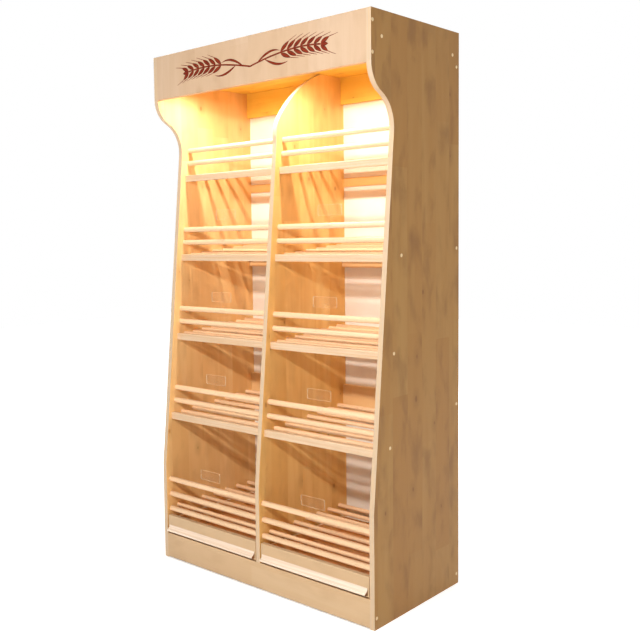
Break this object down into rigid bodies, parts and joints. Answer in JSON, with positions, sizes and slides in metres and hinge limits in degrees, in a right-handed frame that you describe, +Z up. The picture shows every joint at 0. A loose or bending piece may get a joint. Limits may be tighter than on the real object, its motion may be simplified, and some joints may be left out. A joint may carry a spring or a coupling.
{
  "type": "bakery bread rack",
  "caption": "Tall wooden bread display rack with curved side panels, a centre divider, slanting dowel shelves with guard dowels, a header board over a lit canopy and crumb drawers.",
  "frame": {"origin": "on the floor, under the middle of the overall box", "axes": "+X to the right along the front, +Y from the front to the back, +Z up"},
  "size_m": [1, 0.538, 1.95],
  "materials": {
    "board": "satin wood-decor laminate",
    "dowel": "satin lacquered beech",
    "white_sheet": "white lacquered fibreboard",
    "drawer_floor": "thin fibreboard",
    "grip": "satin lacquered moulding",
    "clear_plastic": "clear",
    "lamp_tray": "white enamel",
    "lamp_lens": "frosted, warm light"
  },
  "bodies": {
    "rack": {"back_sheet_lower": "white_sheet", "back_sheet_upper": "white_sheet", "centre_divider": "board", "guard_dowels_1": "dowel", "guard_dowels_2": "dowel", "guard_dowels_3": "dowel", "guard_dowels_4": "dowel", "guard_dowels_base": "dowel", "header_board": "board", "joint_strip": "board", "lamp_lens": "lamp_lens", "lamp_tray": "lamp_tray", "lip_1_left": "board", "lip_1_right": "board", "lip_2_left": "board", "lip_2_right": "board", "lip_3_left": "board", "lip_3_right": "board", "lip_4_left": "board", "lip_4_right": "board", "plinth_board": "board", "price_holders_1": "clear_plastic", "price_holders_2": "clear_plastic", "price_holders_3": "clear_plastic", "price_holders_base": "clear_plastic", "rail_foot_left": "board", "rail_foot_right": "board", "rail_low_left": "board", "rail_low_right": "board", "rail_middle_left": "board", "rail_middle_right": "board", "rail_top_left": "board", "rail_top_right": "board", "runners_left": "board", "runners_right": "board", "shelf_rods_1_left": "dowel", "shelf_rods_1_right": "dowel", "shelf_rods_2_left": "dowel", "shelf_rods_2_right": "dowel", "shelf_rods_3_left": "dowel", "shelf_rods_3_right": "dowel", "shelf_rods_4_left": "dowel", "shelf_rods_4_right": "dowel", "shelf_rods_base_left": "dowel", "shelf_rods_base_right": "dowel", "side_panel_left": "board", "side_panel_right": "board", "top_board": "board"},
    "drawer_left": {"drawer_left_back": "board", "drawer_left_floor": "drawer_floor", "drawer_left_front": "board", "drawer_left_grip": "grip", "drawer_left_sides": "board"},
    "drawer_right": {"drawer_right_back": "board", "drawer_right_floor": "drawer_floor", "drawer_right_front": "board", "drawer_right_grip": "grip", "drawer_right_sides": "board"}
  },
  "joints": [
    {"name": "drawer_left_slide", "type": "slide", "parent": "rack", "child": "drawer_left", "axis": [0, -1, 0], "range_m": [0, 0.32]},
    {"name": "drawer_right_slide", "type": "slide", "parent": "rack", "child": "drawer_right", "axis": [0, -1, 0], "range_m": [0, 0.32]}
  ]
}
